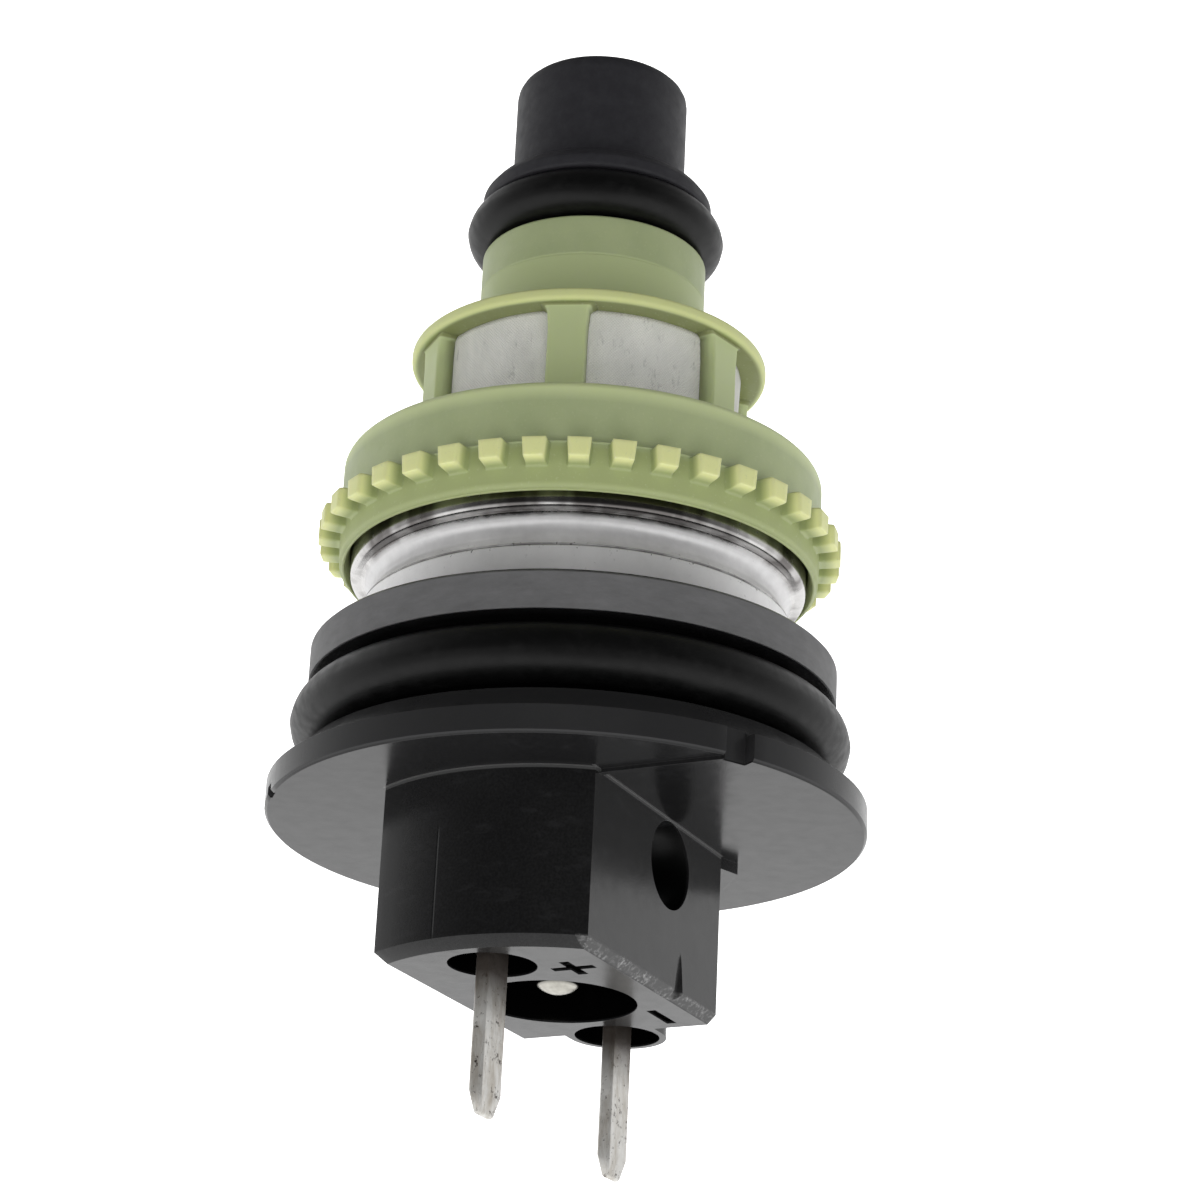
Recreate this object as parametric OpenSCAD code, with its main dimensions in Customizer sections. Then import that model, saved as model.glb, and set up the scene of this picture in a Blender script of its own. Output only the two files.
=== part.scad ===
// Single-point fuel injector with a clip-on strainer and a push-fit nozzle cap.
// Millimetres. +Z runs along the injector's axis towards the terminals. The origin
// is on the axis, in the plane of the flange's seating face. The two terminals
// stand on the X axis, and the block's latch hole faces -Y.

/* [Flange and lands] */
// Diameter of the round flange
flange_d = 30; // [29:0.5:32]
// Thickness of the flange
flange_t = 1.4; // [1.2:0.1:2]
// Diameter of the tapered land at the flange
taper_land_d = 28.8; // [28:0.2:29.2]
// Diameter of the land below the seal groove
guide_land_d = 26.68; // [26:0.02:27]
// Height of the tapered land
taper_land_h = 1.35; // [1:0.05:1.5]
// Height of the seal groove
groove_h = 4.05; // [3.6:0.05:4.4]
// Height of the guide land
guide_land_h = 2.05; // [1.6:0.05:2.4]
// Diameter at the bottom of the seal groove
groove_d = 21.9; // [21.6:0.1:22.1]

/* [Connector block] */
// Height of the block above the flange
block_h = 8.7; // [8:0.1:10]
// Radius of the block's curved wall
block_r = 10.45; // [10:0.05:11]
// Distance from the axis to the wall with the latch hole
latch_wall_y = 5.85; // [5.6:0.05:6]
// Distance from the axis to the plain wall
plain_wall_y = 5.25; // [5:0.05:5.6]
// Distance from the axis to the end wall
end_wall_x = 6; // [5.6:0.1:6.4]
// Distance from one terminal to the other
terminal_pitch = 13.8; // [13.6:0.1:14]
// Diameter of the pocket round each terminal
pocket_d = 4.3; // [4:0.1:4.5]
// Depth of the pockets
pocket_depth = 5; // [3:0.5:6]
// Diameter of the central well
well_d = 7.9; // [7.4:0.1:8.2]
// Diameter of the latch hole in the side wall
latch_hole_d = 4.4; // [3.6:0.1:4.6]

/* [Terminals] */
// Width of a blade
blade_w = 2.1; // [1.6:0.1:2.4]
// Thickness of a blade
blade_t = 0.7; // [0.6:0.1:1]
// Length of blade beyond the block
blade_out = 7.3; // [6:0.1:8]

/* [Metal housing] */
// Diameter of the magnet cup where it shows
cup_d = 22; // [21.8:0.1:22.4]
// Height of the magnet cup where it shows
cup_ring_h = 2.15; // [2:0.05:2.4]
// Diameter of the waist above the rolled bead
waist_d = 21; // [20.6:0.1:21.4]
// Diameter of the rolled bead
bead_d = 23.3; // [23:0.1:23.4]
// Height of the bead
bead_h = 1.5; // [1.2:0.1:1.6]

/* [Strainer basket] */
// Diameter of the snap ring
ring_d = 24.7; // [24.6:0.02:25]
// Number of teeth round the snap ring
tooth_count = 38; // [30:1:44]
// How far a tooth stands out of the ring
tooth_out = 1.06; // [0.8:0.02:1.3]
// Number of ribs, with a window between each two
rib_count = 6; // [4:1:8]
// Width of a rib
rib_w = 1.95; // [1.5:0.05:2.4]
// Height of the windows
window_h = 5.93; // [5:0.01:6.3]
// Diameter over the ribs
ribs_d = 17.6; // [17.2:0.1:18]
// Diameter of the collar below the windows
collar_d = 18.56; // [18:0.02:19]
// Diameter of the neck
neck_d = 11.82; // [11.6:0.02:12]
// Turn of the whole basket about the axis
basket_turn = -19; // [-30:1:30]

/* [Seals and cap] */
// Outer diameter of the upper seal ring
upper_seal_d = 28.16; // [28:0.02:28.4]
// Outer diameter of the nozzle seal ring
nozzle_seal_d = 13.58; // [13.4:0.02:13.8]
// Thickness of the nozzle seal ring
nozzle_seal_t = 2.56; // [2.5:0.02:2.6]
// Diameter of the cap's brim
brim_d = 12.2; // [11.8:0.1:12.6]
// Diameter of the cap's crown
crown_d = 9.16; // [9:0.02:9.4]

/* [Valve] */
// Lift of the needle from its seat
needle_lift = 0.06; // [0.05:0.01:0.08]
// Diameter of the guide bore in the valve body
guide_bore_d = 3.8; // [3.6:0.1:4]
// Diameter of the hole that the spray leaves by
outlet_d = 1; // [0.9:0.1:1.2]

/* [Hidden] */
$fn = 96;

// Small clearance between pieces that slide or nearly touch
slip = 0.03;
// Overrun of a cutting shape past the face it cuts
over = 1;
plastic = "#2b2b2d";
steel = "#c3c5c8";
green = "#a9b27c";
rubber = "#1a1a1b";

// Levels along the axis, from the flange down to the cap
block_top_z = flange_t + block_h;
groove_top_z = -taper_land_h;
groove_low_z = groove_top_z - groove_h;
guide_low_z = groove_low_z - guide_land_h;
cup_low_z = guide_low_z - cup_ring_h;
waist_low_z = cup_low_z - 1.75;
bead_low_z = waist_low_z - bead_h;
ring_top_z = -11.95;
ring_low_z = ring_top_z - 5.75;
collar_top_z = ring_low_z - window_h;
collar_low_z = collar_top_z - 0.63;
neck_low_z = collar_low_z - 5.89;
nozzle_seal_z = neck_low_z - nozzle_seal_t / 2 - 0.15;
brim_top_z = nozzle_seal_z - nozzle_seal_t / 2 - 0.05;
crown_top_z = brim_top_z - 1.4;
cap_low_z = crown_top_z - 6.4;

// Coil space inside the magnet cup
cup_plate_top_z = -0.6;
cup_plate_low_z = cup_plate_top_z - 1.2;
cup_body_r = 10;
cup_bore_r = 8.9;
bobbin_top_z = cup_plate_low_z - 0.2;
winding_top_z = bobbin_top_z - 1;
winding_low_z = cup_low_z + 1;
winding_r = 8.1;
hub_r = 4.5;
core_r = 3.6;
core_low_z = -8.2;
pin_r = 1.03;
pin_low_z = -4;
spring_well_r = 1.75;

// Magnetic stack and valve, held in the housing ring
stack_r = 9.3;
pole_low_z = cup_low_z - 1;
shim_low_z = pole_low_z - 0.2;
carrier_flange_low_z = shim_low_z - 1.6;
air_gap = needle_lift + 0.04;
armature_r = core_r;
armature_top_z = core_low_z - air_gap;
armature_low_z = armature_top_z - 3.7;
armature_well_r = armature_r + 0.15;
spring_floor_z = armature_top_z - 0.8;
stop_top_z = armature_low_z - 0.4;
stop_low_z = stop_top_z - 0.6;
stop_r = 3;
needle_neck_r = 0.9;
carrier_neck_r = neck_d / 2 - 1.31;
carrier_tip_r = (nozzle_seal_d - 2 * nozzle_seal_t) / 2 - slip;
carrier_low_z = brim_top_z - 0.3;
valve_r = 3;
tip_r = 3.5;
tip_low_z = cap_low_z + 2;
outlet_r = outlet_d / 2;
guide_r = guide_bore_d / 2;
seat_low_z = tip_low_z + 0.7;
needle_r = 1.2;
pintle_r = outlet_r - 0.15;
fuel_hole_z = ring_low_z - window_h / 2;
mesh_r = ribs_d / 2 - 0.8;
mesh_t = 0.2;
tooth_top_z = ring_top_z - 1.18;
tooth_h = 1.2;
tooth_phase = 2.7;

// Solid of revolution about the injector's axis
module turned(profile) {
    rotate_extrude()
        polygon(profile);
}

// Tube between two levels
module tube(outer_r, inner_r, low_z, top_z) {
    turned([[inner_r, low_z], [outer_r, low_z], [outer_r, top_z], [inner_r, top_z]]);
}

// Seal ring of round section
module seal_ring(outer_r, section_d, z) {
    translate([0, 0, z])
        rotate_extrude()
            translate([outer_r - section_d / 2, 0])
                circle(d = section_d, $fn = 48);
}

// Copies of the children spaced evenly about the axis
module ring_of(count, first = 0) {
    for (i = [0 : count - 1])
        rotate([0, 0, first + i * 360 / count])
            children();
}

// Plain round rod between two levels, used both as a solid and as a cutter
module rod(r, low_z, top_z) {
    translate([0, 0, low_z])
        cylinder(r = r, h = top_z - low_z);
}

// ---- Connector block, flange and lands, moulded in one piece ----

end_chamfer = 0.45;
arc_chamfer = 0.7;
boss_r = pocket_d / 2 + 0.35;
// How far the block's shapes reach down into the flange
root = 0.4;

// Curved wall, chamfered where it meets the end face
module curved_wall() {
    shoulder_z = block_top_z - end_chamfer;
    turned([[0, flange_t - root], [block_r, flange_t - root], [block_r, shoulder_z],
        [block_r - arc_chamfer, block_top_z], [0, block_top_z]]);
}

// Prism between the plain wall and the latch wall
module side_walls() {
    shoulder_z = block_top_z - end_chamfer;
    rotate([90, 0, 90])
        translate([0, 0, -end_wall_x])
            linear_extrude(end_wall_x + block_r + over)
                polygon([[-latch_wall_y, 0], [plain_wall_y, 0], [plain_wall_y, shoulder_z],
                    [plain_wall_y - end_chamfer, block_top_z],
                    [end_chamfer - latch_wall_y, block_top_z], [-latch_wall_y, shoulder_z]]);
}

// Half-round boss round the far terminal's pocket
module pocket_boss() {
    translate([-terminal_pitch / 2, 0, 0]) {
        rod(boss_r, flange_t - root, block_top_z);
        translate([0, -boss_r, flange_t - root])
            cube([2, 2 * boss_r, block_h + root]);
    }
}

// Low foot at the corner of the end wall and the latch wall
module corner_foot() {
    translate([0, 0, flange_t - root])
        linear_extrude(root + 0.6)
            polygon([[-end_wall_x + 1, -latch_wall_y + 0.5], [-end_wall_x - 0.2, -latch_wall_y],
                [-7.3, -6.2], [-9.7, -4.3], [-8.2, -1.6], [-end_wall_x + 1, -1.6]]);
}

// Thin rib on the flange from the block's corner to the rim notch
module flange_rib() {
    rib_end_y = 12.4;
    translate([8, -rib_end_y, flange_t - root])
        cube([0.35, rib_end_y - latch_wall_y + 0.6, root + 0.2]);
}

// Tapering scoop in the latch wall, widest at the end face
module latch_groove() {
    scoop_len = 4.4;
    scoop_r = 0.6;
    translate([-1.5, -latch_wall_y - 0.25, block_top_z - scoop_len])
        cylinder(r1 = 0, r2 = scoop_r, h = scoop_len + 0.01);
}

// Shallow plus and minus marks that tell the terminals apart
module polarity_marks() {
    plus_at = [5.3, -3.5];
    minus_at = [-4, -3.8];
    plus_l = 2.2;
    minus_l = 2.5;
    mark_w = 0.5;
    translate([0, 0, block_top_z - 0.3])
        linear_extrude(over) {
            translate(plus_at) {
                square([plus_l, mark_w], center = true);
                square([mark_w, plus_l], center = true);
            }
            translate(minus_at)
                square([minus_l, mark_w], center = true);
        }
}

// Flange, lands and groove, hollow for the magnet cup
module flange_and_lands() {
    turned([[core_r, cup_plate_top_z], [cup_body_r, cup_plate_top_z], [cup_body_r, guide_low_z],
        [guide_land_d / 2 - 0.2, guide_low_z], [guide_land_d / 2, guide_low_z + 0.2],
        [guide_land_d / 2, groove_low_z], [groove_d / 2, groove_low_z], [groove_d / 2, groove_top_z],
        [guide_land_d / 2 + 0.1, groove_top_z], [taper_land_d / 2, 0], [flange_d / 2, 0],
        [flange_d / 2, flange_t - 0.15], [flange_d / 2 - 0.15, flange_t], [core_r, flange_t]]);
}

module connector_block() {
    rim_notch_turn = -59;
    rim_notch_w = 1.6;
    gate_notch_turn = 49;
    gate_notch_w = 0.8;
    latch_hole_z = flange_t + 2.26;
    insert_r = 1.5;
    color(plastic)
    difference() {
        union() {
            flange_and_lands();
            intersection() {
                curved_wall();
                side_walls();
            }
            pocket_boss();
            corner_foot();
            flange_rib();
            for (side = [-1, 1])
                translate([side * terminal_pitch / 2, 0, 0])
                    rod(insert_r, bobbin_top_z, 0);
        }
        rod(well_d / 2, flange_t, block_top_z + over);
        rod(core_r, cup_plate_top_z - over, flange_t + over);
        for (side = [-1, 1])
            translate([side * terminal_pitch / 2, 0, 0]) {
                rod(pocket_d / 2, block_top_z - pocket_depth, block_top_z + over);
                translate([-blade_w / 2, -blade_t / 2, bobbin_top_z - over])
                    cube([blade_w, blade_t, block_top_z + 2 * over]);
            }
        translate([0, 0, latch_hole_z])
            rotate([90, 0, 0])
                cylinder(d = latch_hole_d, h = latch_wall_y + over);
        latch_groove();
        polarity_marks();
        rotate([0, 0, rim_notch_turn])
            translate([flange_d / 2 - 0.8, -rim_notch_w / 2, -over])
                cube([2, rim_notch_w, flange_t + 2 * over]);
        rotate([0, 0, gate_notch_turn])
            translate([flange_d / 2 - 0.25, -gate_notch_w / 2, flange_t - 0.5])
                cube([1, gate_notch_w, 1]);
    }
}

// Blade that runs from the coil to a pointed tip
module blade() {
    tip_l = 1.1;
    tip_w = 0.65 * blade_w;
    tip_t = 0.5 * blade_t;
    shoulder_z = block_top_z + blade_out - tip_l;
    intersection() {
        translate([0, blade_t / 2, 0])
            rotate([90, 0, 0])
                linear_extrude(blade_t)
                    polygon([[-blade_w / 2, bobbin_top_z], [blade_w / 2, bobbin_top_z],
                        [blade_w / 2, shoulder_z], [tip_w / 2, shoulder_z + tip_l],
                        [-tip_w / 2, shoulder_z + tip_l], [-blade_w / 2, shoulder_z]]);
        translate([-blade_w, 0, 0])
            rotate([90, 0, 90])
                linear_extrude(2 * blade_w)
                    polygon([[-blade_t / 2, bobbin_top_z], [blade_t / 2, bobbin_top_z],
                        [blade_t / 2, shoulder_z], [tip_t / 2, shoulder_z + tip_l],
                        [-tip_t / 2, shoulder_z + tip_l], [-blade_t / 2, shoulder_z]]);
    }
}

module terminal_plus() {
    color(steel)
        translate([terminal_pitch / 2, 0, 0])
            blade();
}

module terminal_minus() {
    color(steel)
        translate([-terminal_pitch / 2, 0, 0])
            blade();
}

// Rod pressed down the core to set the spring's load, with a domed end in the well
module adjusting_pin() {
    dome_h = 0.4;
    dome_z = block_top_z - 0.8;
    dome_r = (pin_r * pin_r + dome_h * dome_h) / (2 * dome_h);
    color(steel)
    intersection() {
        rod(pin_r, pin_low_z, dome_z + dome_h);
        union() {
            rod(pin_r + over, pin_low_z, dome_z);
            translate([0, 0, dome_z + dome_h - dome_r])
                sphere(r = dome_r);
        }
    }
}

module upper_o_ring() {
    section_d = (upper_seal_d - groove_d) / 2 - slip;
    color(rubber)
        seal_ring(upper_seal_d / 2, section_d, (groove_top_z + groove_low_z) / 2);
}

// ---- Magnet: cup, coil, core and seals ----

module magnet_cup() {
    color(steel)
    difference() {
        turned([[core_r, cup_plate_low_z], [cup_bore_r, cup_plate_low_z], [cup_bore_r, cup_low_z],
            [cup_d / 2, cup_low_z], [cup_d / 2, guide_low_z], [cup_body_r, guide_low_z],
            [cup_body_r, cup_plate_top_z], [core_r, cup_plate_top_z]]);
        for (side = [-1, 1])
            translate([side * terminal_pitch / 2, 0, 0])
                rod(1.5, cup_plate_low_z - over, cup_plate_top_z + over);
    }
}

module coil_bobbin() {
    color("ivory")
    difference() {
        turned([[armature_well_r, cup_low_z], [winding_r + 0.4, cup_low_z],
            [winding_r + 0.4, winding_low_z], [hub_r, winding_low_z], [hub_r, winding_top_z],
            [winding_r + 0.4, winding_top_z], [winding_r + 0.4, bobbin_top_z],
            [armature_well_r, bobbin_top_z]]);
        for (side = [-1, 1])
            translate([side * terminal_pitch / 2, 0, 0])
                rod(0.3, winding_top_z - over, bobbin_top_z + over);
    }
}

module coil_winding() {
    color("#b8642c")
        tube(winding_r, hub_r, winding_low_z, winding_top_z);
}

module coil_leads() {
    color("#b8642c")
        for (side = [-1, 1])
            translate([side * terminal_pitch / 2, 0, 0])
                rod(0.25, winding_top_z, bobbin_top_z);
}

module stator_core() {
    seal_section = 1.1;
    seal_z = 0.4;
    color("#9a9ca0")
    difference() {
        rod(core_r, core_low_z, flange_t);
        tube(core_r + over, core_r - seal_section, seal_z - seal_section / 2, seal_z + seal_section / 2);
        rod(pin_r, pin_low_z, flange_t + over);
        rod(spring_well_r, core_low_z - over, pin_low_z);
    }
}

module core_o_ring() {
    color(rubber)
        seal_ring(core_r, 1.1, 0.4);
}

module coil_o_ring() {
    color(rubber)
        seal_ring(6.6, 0.9, cup_low_z - 0.45);
}

// Return spring: a round wire with one closed turn at each end
wire_r = 0.2;
spring_r = 1.35;
spring_turns = 8;
wire_sides = 8;
turn_steps = 16;
spring_low_z = spring_floor_z + wire_r + 0.02;
spring_top_z = pin_low_z - wire_r - 0.02;

// Height of the wire's centre after a number of turns
function spring_z(turns) =
    turns < 1 ? spring_low_z + 2 * wire_r * turns
    : turns > spring_turns - 1 ? spring_top_z - 2 * wire_r * (spring_turns - turns)
    : spring_low_z + 2 * wire_r
        + (turns - 1) / (spring_turns - 2) * (spring_top_z - spring_low_z - 4 * wire_r);

// Point on the wire's skin at a step along the coil and a side round the wire
function wire_point(step, side) =
    let (turn = step * 360 / turn_steps, around = side * 360 / wire_sides,
        r = spring_r + wire_r * cos(around))
    [r * cos(turn), r * sin(turn), spring_z(step / turn_steps) + wire_r * sin(around)];

module return_spring() {
    steps = spring_turns * turn_steps;
    points = [for (step = [0 : steps]) for (side = [0 : wire_sides - 1]) wire_point(step, side)];
    skin = [for (step = [0 : steps - 1]) for (side = [0 : wire_sides - 1])
        let (next = (side + 1) % wire_sides)
        [step * wire_sides + side, (step + 1) * wire_sides + side,
            (step + 1) * wire_sides + next, step * wire_sides + next]];
    first_end = [for (side = [0 : wire_sides - 1]) side];
    last_end = [for (side = [wire_sides - 1 : -1 : 0]) steps * wire_sides + side];
    color("#6f7276")
        polyhedron(points, concat(skin, [first_end, last_end]), convexity = 10);
}

// ---- Stack clamped under the magnet cup ----

module pole_ring() {
    color("#9a9ca0")
    difference() {
        tube(stack_r, armature_well_r, pole_low_z, cup_low_z);
        tube(6.65, 5.65, cup_low_z - 0.9, cup_low_z + over);
    }
}

module lift_shim() {
    color(steel)
        tube(stack_r, armature_well_r, shim_low_z, pole_low_z);
}

// Ring with a concave waist and a rolled bead that grips the carrier's flange
module housing_ring() {
    bead_r = bead_d / 2;
    fillet = 0.75;
    bead_mid_z = (waist_low_z + bead_low_z) / 2;
    color(steel)
    difference() {
        union() {
            tube(waist_d / 2, stack_r, carrier_flange_low_z, cup_low_z);
            tube(cup_d / 2, stack_r, cup_low_z - 0.35, cup_low_z);
            turned([[stack_r, cup_low_z - 0.35], [cup_d / 2, cup_low_z - 0.35],
                [waist_d / 2, cup_low_z - 0.7], [stack_r, cup_low_z - 0.7]]);
            translate([0, 0, bead_mid_z])
                rotate_extrude()
                    translate([bead_r - fillet, 0])
                        circle(r = fillet, $fn = 48);
            tube(bead_r - fillet, stack_r - 0.5, bead_low_z, bead_mid_z + fillet);
        }
        rod(stack_r, carrier_flange_low_z, cup_low_z + over);
    }
}

module body_o_ring() {
    color(rubber)
        seal_ring(stack_r, 0.9, carrier_flange_low_z + 0.8);
}

module armature() {
    flow_hole_r = 0.45;
    color("#8f9195")
    difference() {
        rod(armature_r, armature_low_z, armature_top_z);
        rod(pin_r + 0.67, spring_floor_z, armature_top_z + over);
        rod(1, armature_low_z - over, armature_top_z);
        ring_of(4, 45)
            translate([2.6, 0, 0])
                rod(flow_hole_r, armature_low_z - over, armature_top_z + over);
    }
}

// Needle with two flatted guide collars, a stop collar, a sealing cone and a pintle
module valve_needle() {
    stop_collar_top_z = stop_low_z - needle_lift - 0.02;
    collar_r = guide_r - slip;
    cone_top_z = seat_low_z + needle_r - outlet_r + slip * 2;
    cone_low_z = seat_low_z + pintle_r - outlet_r + slip * 2;
    guide_h = 2.4;
    color("#b4b7ba")
    union() {
        turned([[0, tip_low_z - 0.5], [pintle_r, tip_low_z - 0.5], [pintle_r, cone_low_z],
            [needle_r, cone_top_z], [needle_r, stop_collar_top_z], [needle_neck_r, stop_collar_top_z],
            [needle_neck_r, armature_low_z], [1, armature_low_z], [1, spring_floor_z],
            [0, spring_floor_z]]);
        rod(collar_r, stop_collar_top_z - 0.8, stop_collar_top_z);
        for (low_z = [cone_top_z + 1, fuel_hole_z + 1.4])
            intersection() {
                rod(collar_r, low_z, low_z + guide_h);
                translate([0, 0, low_z + guide_h / 2])
                    rotate([0, 0, 45])
                        cube([2.85, 2.85, guide_h], center = true);
            }
    }
}

// Slotted washer that the needle's stop collar meets at full lift
module stop_plate() {
    color(steel)
    difference() {
        rod(stop_r, stop_low_z, stop_top_z);
        rod(needle_neck_r + 0.1, stop_low_z - over, stop_top_z + over);
        translate([0, -needle_neck_r - 0.1, stop_low_z - over])
            cube([stop_r + over, 2 * needle_neck_r + 0.2, 0.6 + 2 * over]);
    }
}

// Steel carrier with fuel inlets behind the strainer's windows
module valve_carrier() {
    shoulder_r = 5.2;
    color("#b4b7ba")
    difference() {
        turned([[valve_r, carrier_low_z], [carrier_tip_r, carrier_low_z], [carrier_tip_r, neck_low_z],
            [carrier_neck_r, neck_low_z], [carrier_neck_r, collar_top_z], [shoulder_r, collar_top_z],
            [shoulder_r, ring_low_z], [6.2, ring_low_z + 0.8], [6.2, bead_low_z],
            [stack_r - 0.55, bead_low_z], [stack_r - 0.55, carrier_flange_low_z],
            [stack_r, carrier_flange_low_z], [stack_r, shim_low_z], [valve_r, shim_low_z]]);
        tube(stack_r + over, stack_r - 0.9, carrier_flange_low_z + 0.35, carrier_flange_low_z + 1.25);
        rod(armature_well_r, stop_top_z, shim_low_z + over);
        rod(stop_r, stop_low_z, shim_low_z + over);
        ring_of(rib_count, basket_turn + 180 / rib_count)
            translate([0, 0, fuel_hole_z])
                rotate([0, 90, 0])
                    cylinder(r = 0.9, h = stack_r);
    }
}

// Hardened valve body with the guide bore, the conical seat and the spray outlet
module valve_body() {
    color("#a7a9ad")
    difference() {
        turned([[outlet_r, seat_low_z], [outlet_r, tip_low_z + 0.3], [outlet_r + 0.6, tip_low_z],
            [tip_r - 0.9, tip_low_z], [tip_r, tip_low_z + 1.2], [tip_r, carrier_low_z],
            [valve_r, carrier_low_z], [valve_r, stop_low_z], [guide_r, stop_low_z],
            [guide_r, seat_low_z + guide_r - outlet_r]]);
        ring_of(rib_count, basket_turn + 180 / rib_count)
            translate([0, 0, fuel_hole_z])
                rotate([0, 90, 0])
                    cylinder(r = 0.6, h = stack_r);
    }
}

// ---- Strainer ----

// Tooth that widens towards the nozzle
module tooth() {
    root_r = ring_d / 2 - 0.3;
    outer_r = ring_d / 2 + tooth_out;
    wide = 0.66;
    narrow = 0.55;
    translate([root_r, 0, tooth_top_z - tooth_h])
        rotate([90, 0, 90])
            linear_extrude(outer_r - root_r)
                polygon([[-wide, 0], [wide, 0], [narrow, tooth_h], [-narrow, tooth_h]]);
}

module strainer_basket() {
    ring_r = ring_d / 2;
    round_r = 0.65;
    lip_r = ring_r - 0.1;
    lip_low_z = tooth_top_z - tooth_h - 0.1;
    mouth_r = lip_r - 0.25;
    grip_r = bead_d / 2 + 0.1;
    floor_r = mesh_r - 1;
    floor_z = ring_low_z + 1;
    color(green)
    union() {
        turned([[floor_r, ring_low_z], [ring_r - round_r, ring_low_z],
            [ring_r - round_r / 3, ring_low_z + round_r / 3], [ring_r, ring_low_z + round_r],
            [ring_r, lip_low_z], [lip_r, ring_top_z], [mouth_r, ring_top_z],
            [grip_r, ring_top_z - 0.7], [grip_r, floor_z], [floor_r, floor_z]]);
        ring_of(tooth_count, basket_turn + tooth_phase)
            tooth();
        ring_of(rib_count, basket_turn)
            difference() {
                translate([mesh_r - 0.5, -rib_w / 2, collar_top_z - 0.2])
                    cube([ribs_d / 2 - mesh_r + 0.5, rib_w, window_h + 0.4]);
                rod(mesh_r, collar_top_z - over, ring_low_z + over);
            }
        turned([[carrier_neck_r, collar_top_z], [collar_d / 2, collar_top_z],
            [collar_d / 2, collar_low_z], [neck_d / 2, collar_low_z - 0.4], [neck_d / 2, neck_low_z],
            [carrier_neck_r, neck_low_z]]);
    }
}

module filter_mesh() {
    color("#c4c2bb")
        tube(mesh_r, mesh_r - mesh_t, collar_top_z, ring_low_z);
}

module nozzle_o_ring() {
    color(rubber)
        seal_ring(nozzle_seal_d / 2, nozzle_seal_t, nozzle_seal_z);
}

// Push-fit cap that guards the nozzle's tip in transit
module protective_cap() {
    brim_r = brim_d / 2;
    crown_r = crown_d / 2;
    round_r = 1;
    bore_r = tip_r + 0.1;
    mouth_r = carrier_tip_r + 0.1;
    step_z = carrier_low_z - 0.1;
    inner_low_z = cap_low_z + 1;
    bell_h = 0.9;
    end_round = [for (turn = [0 : 18 : 90])
        [crown_r - round_r + round_r * sin(turn), cap_low_z + round_r * (1 - cos(turn))]];
    bell = [for (turn = [0 : 18 : 90])
        [crown_r + (brim_r - crown_r) * sin(turn), crown_top_z + bell_h * (1 - cos(turn))]];
    mouth = [[brim_r, brim_top_z - 0.3], [brim_r - 0.3, brim_top_z], [mouth_r, brim_top_z],
        [mouth_r, step_z], [bore_r, step_z], [bore_r, inner_low_z], [0, inner_low_z]];
    color("#303236")
        turned(concat([[0, cap_low_z]], end_round, bell, mouth));
}

connector_block();
terminal_plus();
terminal_minus();
adjusting_pin();
upper_o_ring();
magnet_cup();
coil_bobbin();
coil_winding();
coil_leads();
stator_core();
core_o_ring();
coil_o_ring();
return_spring();
pole_ring();
lift_shim();
housing_ring();
body_o_ring();
armature();
valve_needle();
stop_plate();
valve_carrier();
valve_body();
strainer_basket();
filter_mesh();
nozzle_o_ring();
protective_cap();
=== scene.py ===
"""The looks of a single-point fuel injector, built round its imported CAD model.

Metres, in the CAD model's frame: +Z runs along the injector's axis towards the terminals, and
the origin is in the plane of the flange's seating face. Lengths are written in millimetres and
multiplied by MM.
"""

import math

import bmesh
import bpy
from mathutils import Matrix, Vector, noise


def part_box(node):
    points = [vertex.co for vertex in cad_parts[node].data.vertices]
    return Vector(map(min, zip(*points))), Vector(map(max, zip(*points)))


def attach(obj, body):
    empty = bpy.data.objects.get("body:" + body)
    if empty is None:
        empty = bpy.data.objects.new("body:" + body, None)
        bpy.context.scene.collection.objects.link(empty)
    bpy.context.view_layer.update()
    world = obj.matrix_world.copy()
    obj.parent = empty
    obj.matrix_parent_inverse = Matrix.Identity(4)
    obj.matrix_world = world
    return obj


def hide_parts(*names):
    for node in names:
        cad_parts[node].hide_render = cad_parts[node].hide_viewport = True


MM = 0.001
TURN = 2 * math.pi

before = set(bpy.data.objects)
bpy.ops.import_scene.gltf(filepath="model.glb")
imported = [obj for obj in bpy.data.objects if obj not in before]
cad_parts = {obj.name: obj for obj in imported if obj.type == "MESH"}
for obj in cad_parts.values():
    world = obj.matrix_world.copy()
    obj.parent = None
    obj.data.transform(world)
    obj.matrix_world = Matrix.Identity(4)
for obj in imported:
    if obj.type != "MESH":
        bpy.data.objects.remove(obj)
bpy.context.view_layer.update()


# ---- Levels and radii that the frame gives, in millimetres ----

def low(node):
    """Height of a node's lowest point."""
    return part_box(node)[0].z / MM


def top(node):
    """Height of a node's highest point."""
    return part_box(node)[1].z / MM


def radius(node):
    """Outer radius of a turned node."""
    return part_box(node)[1].y / MM


CAP_LOW = low("protective_cap")
CAP_TOP = top("protective_cap")
# How far the cap slides down at its joint's limit
CAP_TRAVEL = 12
BASKET_LOW = low("strainer_basket")
BASKET_TOP = top("strainer_basket")
GAUZE_LOW = low("filter_mesh")
GAUZE_TOP = top("filter_mesh")
GAUZE_R = radius("filter_mesh")
BLOCK_TOP = top("connector_block")
CUP_LOW = low("magnet_cup")
CUP_R = radius("magnet_cup")
BEAD_LOW = low("housing_ring")
BEAD_TOP = BEAD_LOW + 1.5
BEAD_R = radius("housing_ring")

# The black moulding's lands, walls and holes, which have no box of their own in the frame
FLANGE_T = 1.4
GUIDE_LOW = -7.45
GUIDE_TOP = -5.4
LATCH_WALL_Y = -5.85
CURVED_WALL_R = 10.45
WELL_R = 3.95
POCKET_R = 2.15
LATCH_HOLE_R = 2.2
LATCH_HOLE_Z = FLANGE_T + 2.26
BLADE_W = 2.1
BLADE_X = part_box("terminal_plus")[1].x / MM - BLADE_W / 2

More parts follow.
